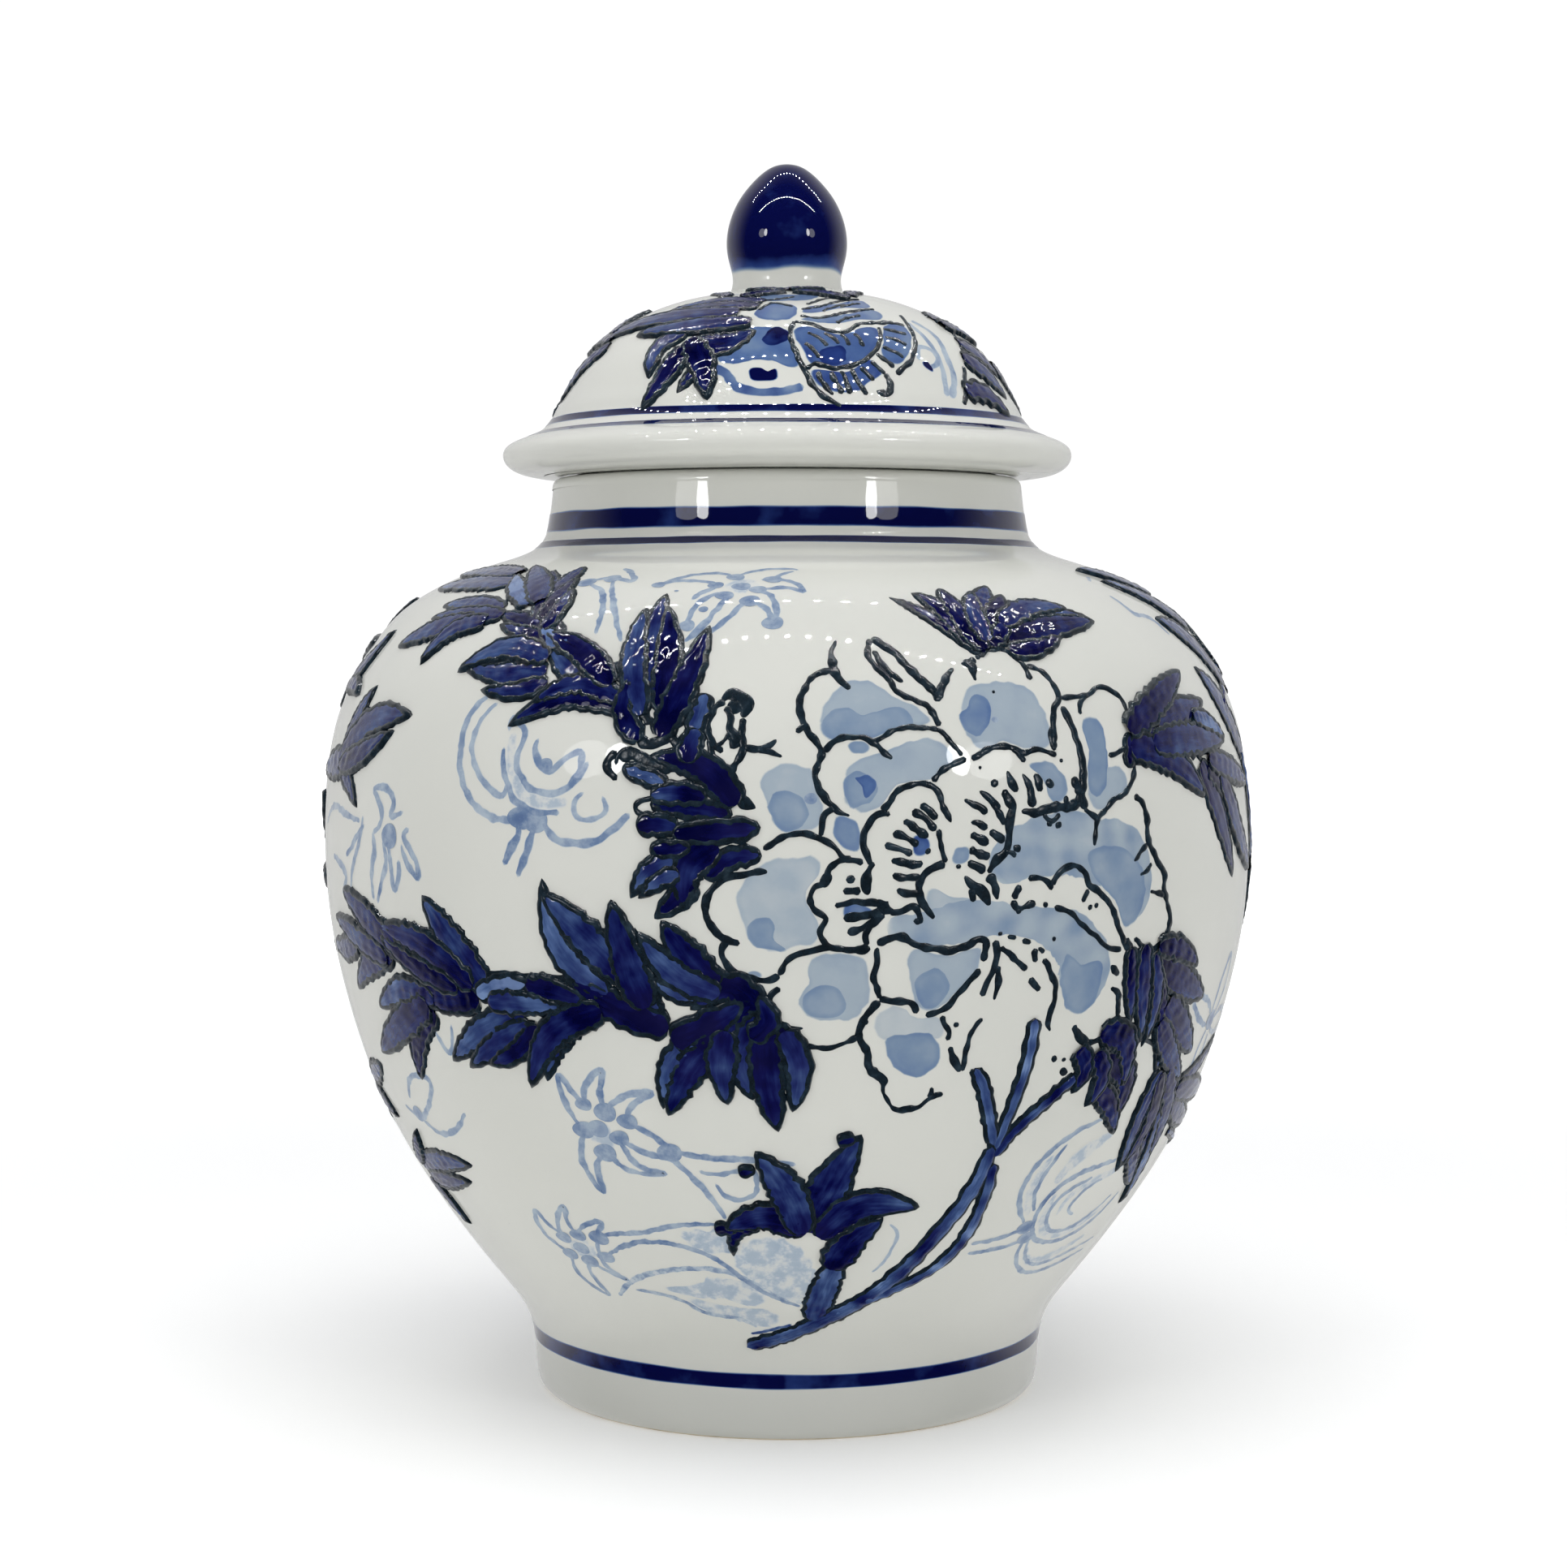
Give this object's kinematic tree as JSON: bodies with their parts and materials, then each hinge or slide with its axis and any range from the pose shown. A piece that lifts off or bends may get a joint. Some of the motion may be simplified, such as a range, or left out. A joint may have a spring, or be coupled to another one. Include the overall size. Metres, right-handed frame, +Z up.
{
  "type": "ginger jar",
  "caption": "Lidded porcelain ginger jar with a full shouldered belly, short neck, domed lid with brim and locating ring, and an acorn knob. Holds dry goods or stands as decoration.",
  "frame": {"origin": "middle of the foot, on the surface the jar stands on", "axes": "+Z up along the jar's axis; -Y faces the viewer, where the large peony is painted"},
  "size_m": [0.192, 0.192, 0.2547],
  "materials": {
    "white_glaze": "glossy clear glaze over white porcelain",
    "cobalt_glaze": "glossy deep cobalt, pooled thick",
    "wash_blue": "pale cobalt wash under clear glaze",
    "outline_black": "blue-black painted line",
    "bare_biscuit": "unglazed, fine matt"
  },
  "bodies": {
    "jar": {"jar_body": "white_glaze", "foot_ring": "white_glaze"},
    "lid": {"lid_shell": "white_glaze", "lid_locating_ring": "white_glaze", "lid_knob": "cobalt_glaze"}
  },
  "joints": [
    {"name": "lid_lift", "type": "slide", "parent": "jar", "child": "lid", "axis": [0, 0, 1], "range_m": [0, 0.06]}
  ]
}
